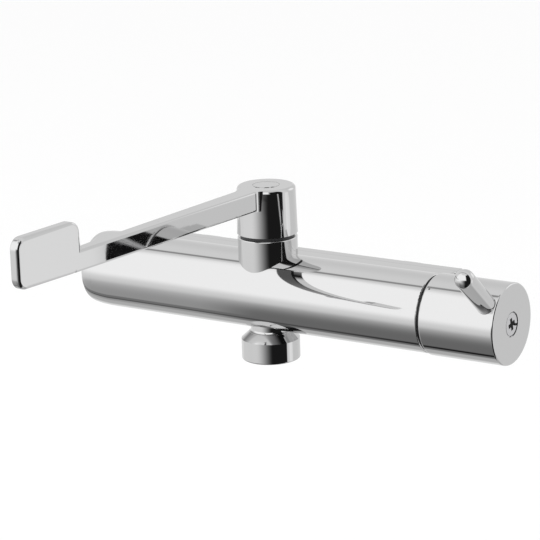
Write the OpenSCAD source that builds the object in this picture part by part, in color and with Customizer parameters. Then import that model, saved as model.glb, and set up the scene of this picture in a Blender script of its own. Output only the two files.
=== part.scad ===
// Elbow lever tap: an exposed thermostatic wall mixer in chromed brass.
// A round body lies along X. The lever stands on a turret at its middle, the
// temperature knob closes the right end and the outlet hangs below the turret.
// The origin lies on the wall, midway between the two inlets. +X points to the
// knob, +Y into the wall and +Z up. All sizes are in millimetres.

/* [Body] */
// Outer diameter of the round body
body_d = 48.7; // [47:0.1:54]
// Turret axis to the left seam
body_left = 122; // [112:1:150]
// Turret axis to the right end face of the body
body_right = 118.8; // [112:0.1:135]
// Length of the cap that closes the left end
end_cap_len = 8; // [6:0.5:14]
// Length over which the left end draws in
end_taper_len = 18; // [12:1:24]
// How far the radius draws in at the left end
end_taper = 2.3; // [1:0.1:4]
// Rounding of the turned edges
edge_r = 0.8; // [0.4:0.1:1.2]
// Radius of the hollow at the left end
end_hollow_r = 19; // [16:0.5:19.5]
// Depth of the hollow at the left end
end_hollow_len = 26; // [20:1:34]
// Length of the left cap's plug in the body
cap_tail = 10; // [9:0.5:12]
// Left seam to the middle of the cap's seal
cap_seal_x = 5.2; // [4.5:0.1:6]
// Width of the groove of the cap's seal
cap_groove = 2.4; // [2:0.1:2.8]

/* [Wall side] */
// Distance between the two inlets
inlet_spacing = 150; // [148:1:160]
// Gap between the floor of a round recess and the union nut in it
nut_gap = 2; // [1:0.25:4]
// How far the casting's flat back stands behind the round body
back_out = 0.15; // [0.05:0.05:1]
// Height of the flat back of the casting
flat_h = 41; // [36:1:44]
// Thickness of the dark gasket behind the flat back
gasket_t = 0.8; // [0.5:0.1:1.5]
// Thickness of the rear cover
cover_t = 9.7; // [9:0.1:13]
// Height of the rear cover
cover_h = 40; // [38:1:44]
// Depth of the round recesses in the rear cover
cover_recess = 5; // [4:0.5:6]
// Radius of the round recesses in the rear cover
cover_recess_r = 19; // [18.8:0.1:19]
// Rounding of the rear cover's back edges
cover_edge_r = 2; // [1:0.5:3]
// Rounding of the rear cover's front edges
cover_front_r = 0.9; // [0.5:0.1:1.5]

/* [Union nuts] */
// Width of the union nut across its flats
nut_af = 30; // [30:1:32]
// Length of the union nut
nut_len = 18; // [17.5:0.5:20]
// Thickness of the union nut's inner shoulder
nut_shoulder = 3; // [2.5:0.5:4]
// Radius of the wall that carries the G 3/4 thread
thread_r = 13.3; // [13.25:0.05:13.4]
// Length of thread in the union nut
nut_thread_len = 9.8; // [9:0.1:10]
// Radius of the relief behind a thread
relief_r = 13.6; // [13.5:0.05:13.8]
// Radius of the nipple's thread in the casting
nipple_r = 10; // [9.5:0.1:10.2]
// Radius of the nipple's smooth neck
nipple_neck_r = 9.5; // [9:0.1:9.5]
// Radius of the nipple's collar inside the nut
nipple_collar_r = 12.8; // [12:0.1:13]
// Thickness of the nipple's collar
nipple_collar_t = 2.5; // [2:0.1:2.6]
// Thickness of the sealing washer
washer_t = 2; // [1.5:0.1:2]
// Inner radius of the sealing washer
washer_hole_r = 8; // [7.8:0.1:9]

/* [Check valves] */
// Outer radius of the check-valve cage
cage_r = 7.5; // [7.2:0.1:7.8]
// Inner radius of the check-valve cage
cage_bore_r = 5.6; // [5.4:0.1:6]
// Length of the check-valve cage
cage_len = 14; // [13:0.5:15]
// Thickness of the cage's seat and of its guide
cage_wall = 2; // [1.5:0.1:2.5]
// Radius of the poppet's disc
poppet_r = 5; // [4.8:0.1:5.1]
// Thickness of the poppet's disc
poppet_t = 2.4; // [2:0.1:3]
// Radius of the poppet's stem
poppet_stem_r = 1.5; // [1.2:0.1:1.8]
// Travel of the poppet
poppet_travel = 2; // [1:0.1:2.5]

/* [Turret] */
// Radius of the collar on the body
collar_r = 18.7; // [18:0.1:19.5]
// Body axis to the collar's top
collar_top = 35.3; // [34.5:0.1:38]
// Radius of the cast boss inside the collar
boss_r = 15.3; // [14.5:0.1:16]
// Height of the cast boss above the body axis
boss_top = 31; // [30:0.5:32]
// Height of the dark glide ring
glide_t = 2; // [0.6:0.1:2.4]
// How far the glide ring sits back from the collar's face
glide_inset = 1.8; // [0.4:0.1:2.2]

/* [Lever] */
// Radius of the hub at its lower edge
hub_r = 18.95; // [18:0.05:20]
// Radius of the hub at its top
hub_top_r = 18.3; // [17.5:0.05:19]
// Body axis to the top of the hub and of the arm
hub_top = 67.6; // [66:0.1:72]
// Rounding of the hub's top edge
hub_edge_r = 2.2; // [1:0.1:3]
// Radius of the hollow in the hub
hub_hollow_r = 15.6; // [15:0.1:16]
// Thickness of metal above the hub's hollow
hub_roof = 10.5; // [10:0.5:12]
// Turret axis to the tip of the lever
lever_reach = 232.9; // [220:0.1:260]
// How far the lever stands turned from straight out, in degrees
lever_yaw = 3.8; // [0:0.1:8]
// Height of the arm
arm_h = 12.6; // [10:0.1:13]
// Arm face on the knob's side, from the turret axis
arm_right = 7.06; // [6:0.02:8]
// Arm face on the far side, from the turret axis
arm_left = 6.3; // [5.5:0.1:8]
// Taper of the face on the knob's side, in degrees
taper_right = 0.9; // [0.4:0.1:1.1]
// Taper of the face on the far side, in degrees
taper_left = 0.82; // [0.4:0.02:1.0]
// Radius of the blend between hub and arm on the knob's side
blend_near_r = 4.5; // [3:0.5:9]
// Radius of the blend between hub and arm on the far side
blend_far_r = 9.5; // [6:0.5:12]
// Rounding of the lever's long edges on the knob's side
lever_edge_r = 1.5; // [0.8:0.1:2]
// Rounding of the lever's long edges on the far side
far_edge_r = 0.9; // [0.5:0.1:1.4]
// Rounding of the paddle's edge at its tip
tip_edge_r = 2.2; // [1:0.1:2.6]
// Length of the upright paddle
paddle_len = 51.9; // [46:0.1:60]
// Height of the paddle, from the underside of the arm
paddle_h = 30; // [24:0.5:36]
// Thickness of the paddle where it starts
paddle_root_t = 6.8; // [5.5:0.1:7.4]
// Thickness of the paddle at its tip
paddle_tip_t = 5.9; // [4:0.1:6.5]
// Rounding of the paddle's corners
paddle_corner_r = 7; // [4:0.1:9]
// Radius of the hollow between arm and paddle
neck_fillet_r = 4.5; // [2:0.1:7]
// Turret axis to the middle of the knuckle on the far side
knuckle_s = 144.8; // [120:0.2:150]
// Radius of the knuckle's nose in plan
knuckle_r = 4.5; // [3:0.1:6]
// How far the knuckle stands out from the arm
knuckle_out = 7.1; // [3:0.1:8]
// Length of the knuckle's slope back to the paddle
knuckle_len = 16; // [14:0.5:18]
// Length over which the arm thins to the paddle
arm_thin_len = 17; // [14:0.5:20]
// Radius of the cap in the hub's top
cap_r = 8.5; // [8:0.1:9]
// Thickness of the cap in the hub's top
cap_t = 2.6; // [2:0.1:3]
// Width of the pry notch beside the cap
pry_w = 3.2; // [2:0.1:4]

/* [Shut-off] */
// Radius of the headwork's thread in the boss
head_r = 12.5; // [12.2:0.1:13]
// Outer radius of the headwork's lower tube
head_tube_r = 10; // [9.6:0.1:10.6]
// Inner radius of the headwork's lower tube
head_bore_r = 8.6; // [8.2:0.1:8.8]
// Radius of the chamber around the headwork
chamber_r = 11.8; // [11.5:0.1:12]
// Depth of the chamber's floor below the body axis
chamber_floor = 6; // [5:0.5:6.5]
// Width of the headwork's hexagon across its flats
head_hex = 22; // [19:1:23]
// Height of the headwork's hexagon
head_hex_h = 6.5; // [5:0.5:7]
// Radius of the spindle
spindle_r = 5; // [4.8:0.1:5.4]
// Height of the spindle above the body axis
spindle_top = 58.5; // [57.5:0.1:59]
// Thickness of each ceramic disc
disc_t = 4; // [3.5:0.1:4]
// Thickness of the rubber seat seal
seat_t = 2; // [1.5:0.1:2.2]
// Quarter turn of the lever, in degrees
lever_turn = 90; // [60:5:90]

/* [Temperature knob] */
// Diameter of the temperature knob
knob_d = 50; // [49:0.1:56]
// Length of the temperature knob
knob_len = 50.1; // [47:0.1:60]
// Gap between body and knob
knob_gap = 1.6; // [1:0.1:2.5]
// Rounding of the knob's edges
knob_edge_r = 1.2; // [0.4:0.1:1.5]
// Radius of the hollow in the knob
knob_hollow_r = 21.3; // [21.1:0.1:22]
// Thickness of the knob's solid end
knob_end = 25.5; // [24:0.5:28]
// Radius of the recess in the knob's end face
end_recess_r = 7.7; // [7:0.1:9]
// Depth of the end screw's face below the knob's end face
end_recess = 0.2; // [0.1:0.1:2]
// Width of the groove around the end screw's face
end_groove = 0.7; // [0.4:0.1:1]
// Depth of the groove around the end screw's face
end_groove_h = 1; // [0.6:0.1:1.5]
// Height of the end screw's head
end_head_h = 3.5; // [3:0.1:4.5]
// Across the cross recess in the end screw
cross_d = 7.8; // [6:0.1:8]
// Width of the cross recess in the end screw
cross_w = 1.9; // [1.2:0.1:2.4]
// Turn of the cross recess, in degrees
cross_turn = 14; // [0:1:45]
// Diameter of the knob's pin
pin_d = 12.1; // [10:0.1:12.4]
// Body axis to the middle of the pin's ball end
pin_reach = 58.2; // [50:0.2:70]
// Knob's end face to the pin's axis
pin_back = 7.2; // [6.8:0.1:9]
// Angle of the pin above level, in degrees
pin_angle = 40.2; // [30:0.2:60]
// Turn of the knob from its marked position to cold, in degrees
turn_cold = 80; // [60:5:100]
// Turn of the knob from its marked position to hot, in degrees
turn_hot = 70; // [40:5:80]
// Angle that the insert's stop lug takes up, in degrees
stop_lug = 40; // [30:1:50]
// Free angle left at the stops, in degrees
stop_play = 2; // [1:0.5:4]

/* [Thermostat] */
// Radius of the bore that holds the cartridge
cart_bore_r = 15.5; // [15.4:0.1:16]
// Thickness of the cartridge's wall
cart_wall = 4.4; // [4:0.1:4.8]
// Distance between the hot port and the cold port
port_gap = 15; // [14:0.5:16]
// Radius of the ring nut that holds the cartridge
ring_nut_r = 17; // [16.5:0.1:17.3]
// Depth of the ring nut in the body
ring_nut_depth = 12; // [10:0.5:14]
// Width of the ring nut's hexagon across its flats
ring_nut_hex = 27; // [25:1:28]
// Height of the ring nut's hexagon in front of the body
ring_nut_h = 5.2; // [4:0.1:5.5]
// Radius of the adjusting spindle
adjust_r = 6.5; // [6:0.1:7]
// Radius of the wax element
element_r = 5; // [4.5:0.1:5.5]
// Travel of the wax element each way
element_travel = 0.5; // [0.45:0.05:0.8]
// Wire diameter of the return spring
spring_wire = 1.2; // [1:0.1:1.3]
// Curls of the return spring
spring_curls = 3; // [2:1:3]
// Radius of the return spring's curls
return_spring_r = 8.2; // [7.6:0.1:8.6]
// Hot port to the seal before it
hot_seal_out = 5.5; // [5:0.25:6]
// Cold port to the seal behind it
cold_seal_out = 9; // [6:0.5:10]
// Width of a seal's groove in the cartridge
cart_groove = 2.4; // [2:0.1:2.6]

/* [Outlet] */
// Radius of the outlet's neck
neck_r = 12.2; // [11.8:0.1:12.5]
// Body axis to the top of the bell
bell_top = 26.2; // [25.6:0.1:29]
// Height of the bell's cone
bell_cone = 4.5; // [3:0.1:7]
// Radius of the bell
bell_r = 18.4; // [17:0.1:20]
// Height of the whole bell
bell_h = 17.7; // [17.4:0.1:24]
// Radius of the hollow between neck and cone
neck_flare_r = 1.8; // [1:0.1:2.2]
// Rounding of the bell's lower edge
bell_edge_r = 0.9; // [0.5:0.1:1.5]
// Length of thread in the bell
bell_thread_len = 10; // [9:0.5:10]
// Radius of the outlet's waterway
outlet_way_r = 6; // [5:0.1:7]
// Radius of the outlet nipple's thread in the body
outlet_thread_r = 9.5; // [9:0.1:10]
// Length of the outlet nipple's thread in the body
neck_tail = 7; // [5:0.5:8]

/* [Clearances] */
// Gap between pieces that move past each other
free_gap = 0.3; // [0.2:0.05:0.4]
// Radial clearance of a shaft in its bore
run_gap = 0.05; // [0.03:0.01:0.08]

/* [Hidden] */
$fn = 96;
e = 0.01;

body_r = body_d / 2;
left_end = -body_left - end_cap_len;
taper_from = left_end + end_taper_len;
flat_back = body_r + back_out;
cover_front = flat_back + gasket_t;
cover_back = cover_front + cover_t;
knob_r = knob_d / 2;
knob_x0 = body_right + knob_gap;
knob_x1 = knob_x0 + knob_len;

// inlets, all along Y from the body axis
recess_y = cover_back - cover_recess;
nut_y0 = recess_y + nut_gap;
nut_y1 = nut_y0 + nut_len;
// body axis to the wall-side ends of the union nuts
body_to_wall = nut_y1;
collar_y0 = nut_y0 + nut_shoulder + free_gap;
collar_y1 = collar_y0 + nipple_collar_t;
washer_y1 = collar_y1 + washer_t;
nipple_y0 = cart_bore_r + free_gap + 0.5;
flange_y1 = nut_y0 - free_gap;
cage_y1 = collar_y0 - 0.8;
cage_y0 = cage_y1 - cage_len;
disc_y1 = cage_y1 - cage_wall - run_gap;
disc_y0 = disc_y1 - poppet_t;
guide_y = cage_y0 + cage_wall;

// turret, all along Z from the body axis
glide_z1 = collar_top + glide_t;
hub_z0 = glide_z1 + free_gap;
hub_roof_z = hub_top - hub_roof;
arm_z0 = hub_top - arm_h;
paddle_z1 = arm_z0 + paddle_h;
paddle_s0 = lever_reach - paddle_len;
seat_z1 = -chamber_floor + seat_t;
disc_z1 = seat_z1 + disc_t;
disc_z2 = disc_z1 + run_gap + disc_t;
fork_z1 = disc_z2 + 6;
tube_top = fork_z1 + 4;
thread_z0 = tube_top + 2;
hex_z1 = boss_top + head_hex_h;
stop_z0 = hex_z1 + 2;
stop_z1 = stop_z0 + 3.5;
clip_z0 = stop_z1 + free_gap + 0.2;
spline_z0 = clip_z0 + 2.2;
socket_z0 = spline_z0 + 1.2;
spline_r = spindle_r - 0.8;
screw_seat = spindle_top + 2.3;
lug_half = 28;

// knob, all along X from the turret axis
hex_x1 = body_right + ring_nut_h;
stop_x0 = hex_x1;
stop_x1 = stop_x0 + 5;
insert_x0 = stop_x1 + free_gap + 0.1;
hollow_x1 = knob_x1 - knob_end;
screw_x = knob_x1 - end_recess - end_head_h;
adjust_x1 = hollow_x1 + 6;
pin_x = knob_x1 - pin_back;
pin_r = pin_d / 2;
pin_seat = sqrt(knob_r * knob_r - pin_r * pin_r) - free_gap;

// thermostat, all along X from the turret axis
cold_x = inlet_spacing / 2;
hot_x = cold_x - port_gap;
cart_x0 = hot_x - 8;
cart_x1 = body_right - ring_nut_depth;
cart_r = cart_bore_r - 0.1;
cart_in_r = cart_r - cart_wall;
spool_x = (hot_x + cold_x) / 2;
spool_half = port_gap / 2 - 2.8;
cart_seal_x = [hot_x - hot_seal_out, spool_x, cold_x + cold_seal_out];
adjust_x0 = cart_x1 - 10.8;
spring_x0 = cart_x0 + 3;
spring_gap = element_travel + free_gap;

// outlet, all below the body axis
bell_z1 = -bell_top;
bell_z0 = -bell_top - bell_h;
bell_seat = bell_z1 - bell_cone - 0.8;
neck_z1 = -body_r + 5.3;
cone_top_r = neck_r + 0.6 * neck_flare_r;

// Radius of the outline at the left end, at a distance x from the turret
function end_radius(x) =
    x >= taper_from ? body_r
    : body_r - end_taper * (1 - sqrt(max(0, 1 - pow((taper_from - x) / end_taper_len, 2))));

// Far side and knob side of the lever in plan, at a distance s from the turret
function side_right(s) = arm_right - s * tan(taper_right);
function side_left(s) = -arm_left + s * tan(taper_left);

// Thickness of the paddle at a distance s from the turret
function paddle_t(s) = paddle_root_t + (paddle_tip_t - paddle_root_t) * (s - paddle_s0) / paddle_len;

// Least gap between the curls of a spring of this pitch and wire
function curl_gap(pitch, wire) = pitch - wire;

// Moves what is drawn about the body axis to its place before the wall
module at_body() {
    translate([0, -body_to_wall, 0]) children();
}

// A bar along X from x0 to x1
module bar_x(r, x0, x1) {
    translate([x0, 0, 0]) rotate([0, 90, 0]) cylinder(r = r, h = x1 - x0);
}

// A tube along X
module tube_x(r1, r2, x0, x1) {
    difference() {
        bar_x(r1, x0, x1);
        bar_x(r2, x0 - 1, x1 + 1);
    }
}

// A bar along Y from y0 to y1, about the axis x
module bar_y(r, y0, y1, x = 0) {
    translate([x, y0, 0]) rotate([-90, 0, 0]) cylinder(r = r, h = y1 - y0);
}

// A tube along Y, about the axis x
module tube_y(r1, r2, y0, y1, x = 0) {
    difference() {
        bar_y(r1, y0, y1, x);
        bar_y(r2, y0 - 1, y1 + 1, x);
    }
}

// A bar along Z from z0 to z1
module bar_z(r, z0, z1) {
    translate([0, 0, z0]) cylinder(r = r, h = z1 - z0);
}

// A tube along Z
module tube_z(r1, r2, z0, z1) {
    difference() {
        bar_z(r1, z0, z1);
        bar_z(r2, z0 - 1, z1 + 1);
    }
}

// A round bar along X whose right edge is rounded
module soft_bar_x(r, x0, x1, soft) {
    translate([x0, 0, 0]) rotate([0, 90, 0]) rotate_extrude() {
        square([r - soft, x1 - x0]);
        square([r, x1 - x0 - soft]);
        translate([r - soft, x1 - x0 - soft]) circle(soft, $fn = 32);
    }
}

// A ring of round section about Z
module ring_z(mid, wire) {
    rotate_extrude() translate([mid, 0]) circle(wire, $fn = 24);
}

// A sector of a ring about Z, from angle a0 over a turn of da
module sector_z(r1, r2, a0, da, h) {
    rotate([0, 0, a0]) rotate_extrude(angle = da) translate([r2, 0]) square([r1 - r2, h]);
}

// A six-sided prism along Z with its flats at +X and -X
module hexagon(af, h) {
    rotate([0, 0, 30]) cylinder(r = af / 2 / cos(30), h = h, $fn = 6);
}

// A wheel outline with fine straight-sided teeth
module spline_outline(r, depth, teeth) {
    polygon([for (i = [0 : 2 * teeth - 1])
        let (a = 180 * i / teeth, q = i % 2 == 0 ? r : r - depth)
        [q * cos(a), q * sin(a)]]);
}

// A coil about Z, as one unbroken tube: 8 rings a curl, 6 sides a ring
module coil(mid, wire, curls, pitch) {
    rings = 8 * curls + 1;
    points = [for (i = [0 : rings - 1]) for (k = [0 : 5])
        let (a = 45 * i, q = mid + wire / 2 * cos(60 * k))
        [q * cos(a), q * sin(a), wire / 2 + pitch * i / 8 + wire / 2 * sin(60 * k)]];
    walls = [for (i = [0 : rings - 2]) for (k = [0 : 5])
        let (a = 6 * i + k, b = 6 * i + (k + 1) % 6)
        each [[a, b, b + 6], [a, b + 6, a + 6]]];
    foot = [for (k = [1 : 4]) [0, k + 1, k]];
    n = 6 * (rings - 1);
    head = [for (k = [1 : 4]) [n, n + k, n + k + 1]];
    polyhedron(points = points, faces = concat(walls, foot, head), convexity = 10);
}

// Outline of the left end, turned about the body axis, from x0 to x1
module left_outline(x0, x1) {
    steps = 12;
    translate([x0, 0, 0]) rotate([0, 90, 0]) rotate_extrude()
        polygon(concat([[0, 0]],
            [for (i = [0 : steps]) let (x = x0 + (x1 - x0) * i / steps) [end_radius(x), x - x0]],
            [[0, x1 - x0]]));
}

module body_shell() {
    color("Silver") at_body() difference() {
        union() {
            left_outline(-body_left, taper_from);
            soft_bar_x(body_r, taper_from, body_right, edge_r);
            translate([-body_left, 0, -flat_h / 2])
                cube([body_left + body_right, flat_back, flat_h]);
            bar_z(boss_r, 0, boss_top);
        }
        // hollow behind the left cap
        bar_x(end_hollow_r, -body_left - 1, -body_left + end_hollow_len);
        // turret: thread, chamber and outlet way
        bar_z(head_r, thread_z0, boss_top + 1);
        bar_z(chamber_r, -chamber_floor, thread_z0 + e);
        bar_z(outlet_way_r, -body_r, 0);
        // outlet nipple: thread and seat
        bar_z(outlet_thread_r, neck_z1 - 1 + e, neck_z1 + neck_tail);
        bar_z(neck_r, -body_r - 1, neck_z1);
        // thermostat: cartridge bore, ring nut, mixed and hot channels
        bar_x(cart_bore_r, cart_x0, body_right + 1);
        bar_x(ring_nut_r, cart_x1, body_right + 1);
        translate([0, 0, 5]) bar_x(5, chamber_r - 4, cart_x0 + 1);
        translate([0, 16.8, 0]) bar_x(3.8, -inlet_spacing / 2, hot_x + 3);
        // inlets
        for (side = [-1, 1]) bar_y(nipple_r, nipple_y0, flat_back + 1, side * inlet_spacing / 2);
        bar_y(6, 0, flat_back, inlet_spacing / 2);
        bar_y(6, 10, flat_back, -inlet_spacing / 2);
    }
}

module left_cap() {
    color("Silver") at_body() difference() {
        union() {
            left_outline(left_end, -body_left);
            bar_x(end_hollow_r - 0.1, -body_left - e, -body_left + cap_tail);
        }
        difference() {
            bar_x(end_hollow_r + 1, -body_left + cap_seal_x - cap_groove / 2, -body_left + cap_seal_x + cap_groove / 2);
            bar_x(end_hollow_r - 1.6, -body_left + cap_seal_x - cap_groove, -body_left + cap_seal_x + cap_groove);
        }
        bar_x(end_hollow_r - 4, left_end + 4, -body_left + cap_tail + 1);
    }
}

module left_cap_seal() {
    wire = 0.8;
    color("#202020") at_body() translate([-body_left + cap_seal_x, 0, 0]) rotate([0, 90, 0])
        ring_z(end_hollow_r - wire, wire);
}

module rear_gasket() {
    inset = 0.8;
    color("#202020") at_body() difference() {
        translate([-body_left + inset, flat_back, -cover_h / 2 + inset])
            cube([body_left + body_right - 2 * inset, gasket_t, cover_h - 2 * inset]);
        for (side = [-1, 1])
            bar_y(nipple_r + 0.2, flat_back - 1, cover_front + 1, side * inlet_spacing / 2);
    }
}

// Section of the rear cover, from its front to its back
module cover_section() {
    r = cover_edge_r;
    f = cover_front_r;
    h = cover_h / 2;
    translate([f, 0]) square([cover_t - r - f, h]);
    square([cover_t, h - r]);
    square([f + e, h - f]);
    translate([cover_t - r, h - r]) circle(r, $fn = 32);
    translate([f, h - f]) circle(f, $fn = 32);
}

module rear_cover() {
    color("Silver") at_body() difference() {
        translate([-body_left, cover_front, 0]) rotate([90, 0, 90])
            linear_extrude(body_left + body_right) {
                cover_section();
                mirror([0, 1]) cover_section();
            }
        for (side = [-1, 1]) {
            bar_y(nipple_r + 0.2, cover_front - 1, cover_back + 1, side * inlet_spacing / 2);
            bar_y(cover_recess_r, recess_y, cover_back + 1, side * inlet_spacing / 2);
        }
    }
}

module turret_collar() {
    color("Silver") at_body() difference() {
        rotate_extrude() {
            translate([boss_r, 0]) square([collar_r - boss_r - 0.6, collar_top]);
            translate([boss_r, 0]) square([collar_r - boss_r, collar_top - 0.6]);
            translate([collar_r - 0.6, collar_top - 0.6]) circle(0.6, $fn = 32);
        }
        bar_x(body_r, -body_left, body_right);
        translate([-collar_r - 1, 0, -1])
            cube([2 * collar_r + 2, collar_r + 1, flat_h / 2 + 1]);
    }
}

module glide_ring() {
    color("#181818") at_body() tube_z(collar_r - glide_inset, boss_r, collar_top, glide_z1);
}

// Plan outline of the blend between hub and arm on one side, hollow radius b
module arm_blend(w, b) {
    r = hub_top_r;
    c = sqrt(pow(r + b, 2) - pow(w + b, 2));
    k = r / (r + b);
    difference() {
        polygon([[0, 0], [(w + b) * k, -c * k], [w, -c], [0, -c]]);
        translate([w + b, -c]) circle(b);
    }
}

// Section of the hub, from its hollow to its outside
module hub_section() {
    h = hub_top - hub_z0;
    r = hub_edge_r;
    polygon([[0, 0], [hub_r, 0], [hub_top_r, h - r], [0, h - r]]);
    square([hub_top_r - r, h]);
    translate([hub_top_r - r, h - r]) circle(r, $fn = 48);
}

// A small ball at a corner of the lever, x and z on its outer faces
module corner(s, x, z, right, top) {
    q = right ? lever_edge_r : far_edge_r;
    translate([x + (right ? -q : q), -s, z + (top ? -q : q)])
        rotate_extrude($fn = 24) intersection() {
            circle(q, $fn = 24);
            translate([0, -q]) square([q, 2 * q]);
        }
}

// The arm, which thins to the paddle's thickness over its last length
module arm_bar() {
    s1 = paddle_s0 - arm_thin_len;
    s2 = paddle_s0 + 4;
    hull() for (top = [false, true]) {
        z = top ? hub_top : arm_z0;
        for (s = [hub_top_r / 2, s1]) {
            corner(s, side_right(s), z, true, top);
            corner(s, side_left(s), z, false, top);
        }
        corner(s2, side_right(s2), z, true, top);
        corner(s2, side_right(s2) - paddle_root_t, z, false, top);
    }
}

// The knuckle on the far side: a round nose that slopes back to the arm
module knuckle() {
    q = far_edge_r;
    x = side_left(knuckle_s) - knuckle_out + knuckle_r;
    hull() {
        translate([x, -knuckle_s, arm_z0 + q]) cylinder(r = knuckle_r, h = arm_h - 2 * q, $fn = 40);
        translate([x, -knuckle_s, arm_z0]) cylinder(r = knuckle_r - q, h = arm_h, $fn = 40);
        for (top = [false, true]) {
            z = top ? hub_top : arm_z0;
            corner(knuckle_s + knuckle_len, side_left(knuckle_s), z, false, top);
            corner(knuckle_s - knuckle_r, 0, z, true, top);
            corner(knuckle_s + knuckle_len, 1, z, true, top);
        }
    }
}

// A disc of radius c with one rounded edge. Its flat face lies at z = 0, the
// metal below it
module coin(c, q) {
    rotate_extrude($fn = 64) translate([0, -q]) {
        square([c - q, q]);
        intersection() {
            translate([c - q, 0]) circle(q, $fn = 24);
            translate([c - q, 0]) square([q, q]);
        }
    }
}

// The upright paddle, with rounded corners and thinning to its tip
module paddle() {
    c = paddle_corner_r;
    thin = atan((paddle_root_t - paddle_tip_t) / paddle_len);
    hull() for (s = [paddle_s0 + c, lever_reach - c], z = [paddle_z1 - c, arm_z0 + c]) {
        q = s > paddle_s0 + c ? tip_edge_r : lever_edge_r;
        translate([side_right(s), -s, z]) rotate([0, 0, -taper_right]) rotate([0, 90, 0]) coin(c, q);
        translate([side_right(s) - paddle_t(s), -s, z]) rotate([0, 0, thin - taper_right])
            rotate([0, -90, 0]) coin(c, far_edge_r);
    }
}

// The metal that fills the corner between arm and paddle
module neck_fillet() {
    f = neck_fillet_r;
    q = lever_edge_r / 2;
    s0 = paddle_s0;
    translate([side_right(s0) - q, 0, 0]) rotate([90, 0, -90])
        linear_extrude(paddle_root_t - q - far_edge_r) difference() {
            translate([s0 - f, hub_top - 2]) square([f + paddle_corner_r + 1, f + 2]);
            translate([s0 - f, hub_top + f]) circle(f);
            translate([s0, hub_top + f]) square([f + paddle_corner_r + 2, f]);
        }
}

module lever() {
    color("Silver") at_body() rotate([0, 0, -lever_yaw]) difference() {
        union() {
            translate([0, 0, hub_z0]) rotate_extrude() hub_section();
            translate([0, 0, arm_z0]) linear_extrude(arm_h) {
                arm_blend(arm_right, blend_near_r);
                mirror([1, 0]) arm_blend(arm_left, blend_far_r);
            }
            arm_bar();
            knuckle();
            paddle();
            neck_fillet();
        }
        // hollow of the hub, with the boss that takes the spindle left standing
        difference() {
            bar_z(hub_hollow_r, hub_z0 - 1, hub_roof_z);
            bar_z(spindle_r + 3, socket_z0, hub_top);
        }
        translate([0, 0, socket_z0 - 1])
            linear_extrude(spindle_top + 1.7 - socket_z0) spline_outline(spline_r, 0.4, 20);
        bar_z(2.7, socket_z0, hub_top);
        bar_z(4.8, screw_seat, hub_top);
        bar_z(cap_r, hub_top - cap_t, hub_top + 1);
        // notch to pry the cap off
        translate([-pry_w / 2, -cap_r - 1, hub_top - 0.8]) cube([pry_w, 2, 2]);
    }
}

module lever_cap() {
    color("Silver") at_body() rotate([0, 0, -lever_yaw]) difference() {
        translate([0, 0, hub_top - cap_t]) rotate_extrude() {
            square([cap_r - 0.35, cap_t]);
            square([cap_r - 0.1, cap_t - 0.25]);
        }
        bar_z(5.4, hub_top - cap_t - 1, hub_top - cap_t + 1.2);
    }
}

module lever_screw() {
    color("Gainsboro") at_body() rotate([0, 0, -lever_yaw]) difference() {
        union() {
            bar_z(4.6, screw_seat, screw_seat + 3.2);
            bar_z(2.5, spindle_top - 12, screw_seat + 1);
        }
        translate([0, 0, screw_seat + 1.2]) cylinder(r = 2.3, h = 3, $fn = 6);
    }
}

module headwork_body() {
    a0 = -90 - lever_yaw + lug_half + 1;
    free = lever_turn + 2 * lug_half + 2;
    color("Goldenrod") at_body() difference() {
        union() {
            bar_z(head_tube_r, seat_z1, thread_z0);
            bar_z(head_r, thread_z0, boss_top);
            translate([0, 0, boss_top]) hexagon(head_hex, head_hex_h);
            bar_z(9, hex_z1 - e, stop_z0);
            // the stop, a crescent that leaves the lug its quarter turn
            translate([0, 0, stop_z0 - e]) sector_z(8.7, 6.6, a0, 360 - free, stop_z1 - stop_z0 + e);
        }
        bar_z(head_bore_r, seat_z1 - 1, tube_top);
        bar_z(spindle_r + run_gap, tube_top - 1, stop_z0 + 1);
        // windows that let the mixed water in above the discs
        for (a = [0 : 90 : 270]) rotate([0, 0, a + 45])
            translate([0, -3.5, disc_z2 + 0.5]) cube([head_tube_r + 2, 7, fork_z1 - disc_z2]);
    }
}

module headwork_spindle() {
    color("Goldenrod") at_body() rotate([0, 0, -lever_yaw]) difference() {
        union() {
            // the fork that drives the upper disc
            intersection() {
                bar_z(head_bore_r - free_gap, disc_z2, fork_z1);
                translate([-head_bore_r, -3.5, disc_z2]) cube([2 * head_bore_r, 7, 10]);
            }
            bar_z(spindle_r, fork_z1 - 2, spline_z0);
            translate([0, 0, spline_z0 - e])
                linear_extrude(spindle_top - spline_z0 + e) spline_outline(spline_r, 0.4, 20);
            // the lug that meets the stop
            translate([0, 0, stop_z0 + free_gap])
                sector_z(8.4, spindle_r - 1, -90 - lug_half, 2 * lug_half, stop_z1 - stop_z0 - free_gap);
        }
        // groove of the clip and groove of the ring seal
        tube_z(spindle_r + 1, spindle_r - 0.8, clip_z0, clip_z0 + 1);
        tube_z(spindle_r + 1, spindle_r - 1.4, boss_top - 10, boss_top - 8);
        bar_z(2.5, spindle_top - 14, spindle_top + 1);
    }
}

module headwork_clip() {
    color("LightSteelBlue") at_body() rotate([0, 0, -lever_yaw]) difference() {
        translate([0, 0, clip_z0]) tube_z(spindle_r + 2, spindle_r - 0.8, 0, 1);
        translate([-3.6, 0, clip_z0 - 1]) cube([7.2, spindle_r + 3, 3]);
    }
}

module spindle_seal() {
    color("#202020") at_body() translate([0, 0, boss_top - 9]) ring_z(spindle_r - 0.7, 0.7);
}

// A ceramic disc with two sector ports, from z0 up
module port_disc(r, z0, turn) {
    translate([0, 0, z0]) difference() {
        cylinder(r = r, h = disc_t);
        for (a = [0, 180])
            translate([0, 0, -1]) sector_z(r - 2, 2.6, a + turn - 38, 76, disc_t + 2);
    }
}

module upper_disc() {
    color("White") at_body() port_disc(head_bore_r - free_gap, disc_z1 + run_gap, 90 - lever_yaw);
}

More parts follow.
